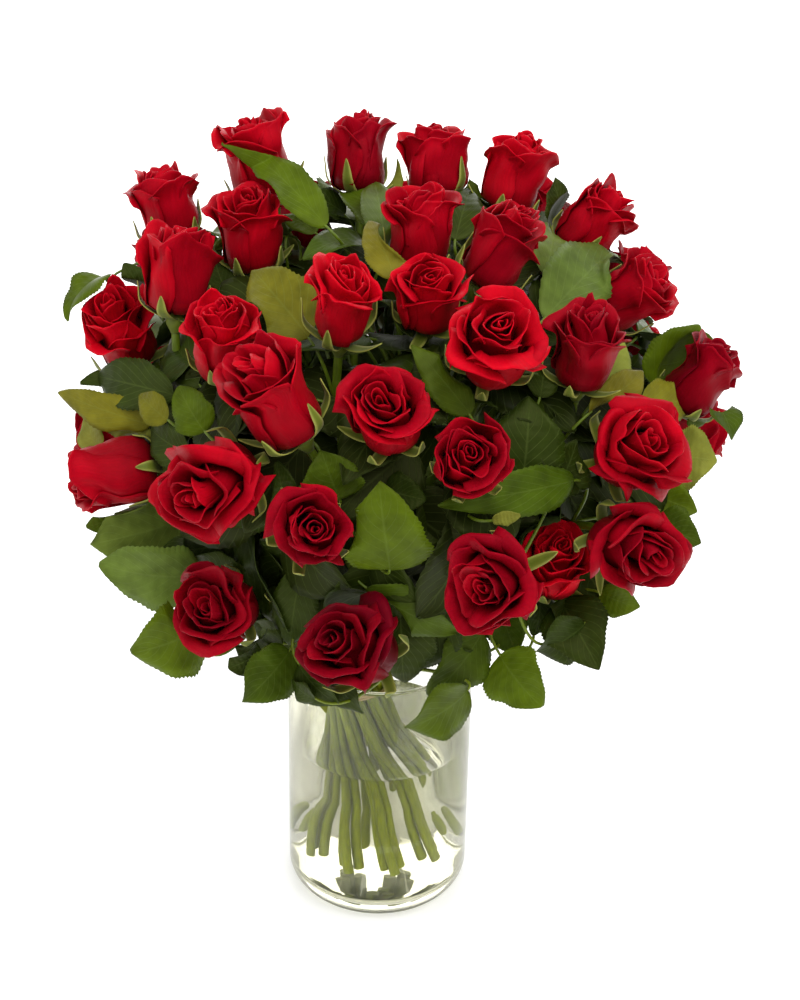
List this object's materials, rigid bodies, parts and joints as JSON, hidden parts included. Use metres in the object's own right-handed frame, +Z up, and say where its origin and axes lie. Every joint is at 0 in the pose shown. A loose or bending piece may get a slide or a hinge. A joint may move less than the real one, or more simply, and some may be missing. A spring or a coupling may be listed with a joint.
{
  "type": "roses in a vase",
  "caption": "Hand-tied dome of red roses with their leaves, standing in a clear glass cylinder vase of water.",
  "frame": {"origin": "centre of the vase's foot, on the surface that it stands on", "axes": "+Z up along the vase; -Y towards the front of the bunch, the side that the picture shows; +X to its right"},
  "size_m": [0.348, 0.3586, 0.427],
  "materials": {
    "clear_glass": "clear, polished soda-lime glass",
    "water": "clear, still water",
    "petals": "velvety deep red petals",
    "leaves_and_stems": "satin green leaves and stems",
    "raffia": "dry, matt raffia"
  },
  "bodies": {
    "root": {"binding_tie": "raffia", "bloom_01": "petals", "bloom_02": "petals", "bloom_03": "petals", "bloom_04": "petals", "bloom_05": "petals", "bloom_06": "petals", "bloom_07": "petals", "bloom_08": "petals", "bloom_09": "petals", "bloom_10": "petals", "bloom_11": "petals", "bloom_12": "petals", "bloom_13": "petals", "bloom_14": "petals", "bloom_15": "petals", "bloom_16": "petals", "bloom_17": "petals", "bloom_18": "petals", "bloom_19": "petals", "bloom_20": "petals", "bloom_21": "petals", "bloom_22": "petals", "bloom_23": "petals", "bloom_24": "petals", "bloom_25": "petals", "bloom_26": "petals", "bloom_27": "petals", "bloom_28": "petals", "bloom_29": "petals", "bloom_30": "petals", "bloom_31": "petals", "bloom_32": "petals", "bloom_33": "petals", "bloom_34": "petals", "bloom_35": "petals", "bloom_36": "petals", "bloom_37": "petals", "bloom_38": "petals", "bloom_39": "petals", "bloom_40": "petals", "bloom_41": "petals", "bloom_42": "petals", "leafy_stems_01": "leaves_and_stems", "leafy_stems_02": "leaves_and_stems", "leafy_stems_03": "leaves_and_stems", "leafy_stems_04": "leaves_and_stems", "leafy_stems_05": "leaves_and_stems", "leafy_stems_06": "leaves_and_stems", "leafy_stems_07": "leaves_and_stems", "leafy_stems_08": "leaves_and_stems", "leafy_stems_09": "leaves_and_stems", "leafy_stems_10": "leaves_and_stems", "leafy_stems_11": "leaves_and_stems", "vase_glass": "clear_glass", "water": "water"}
  },
  "joints": []
}
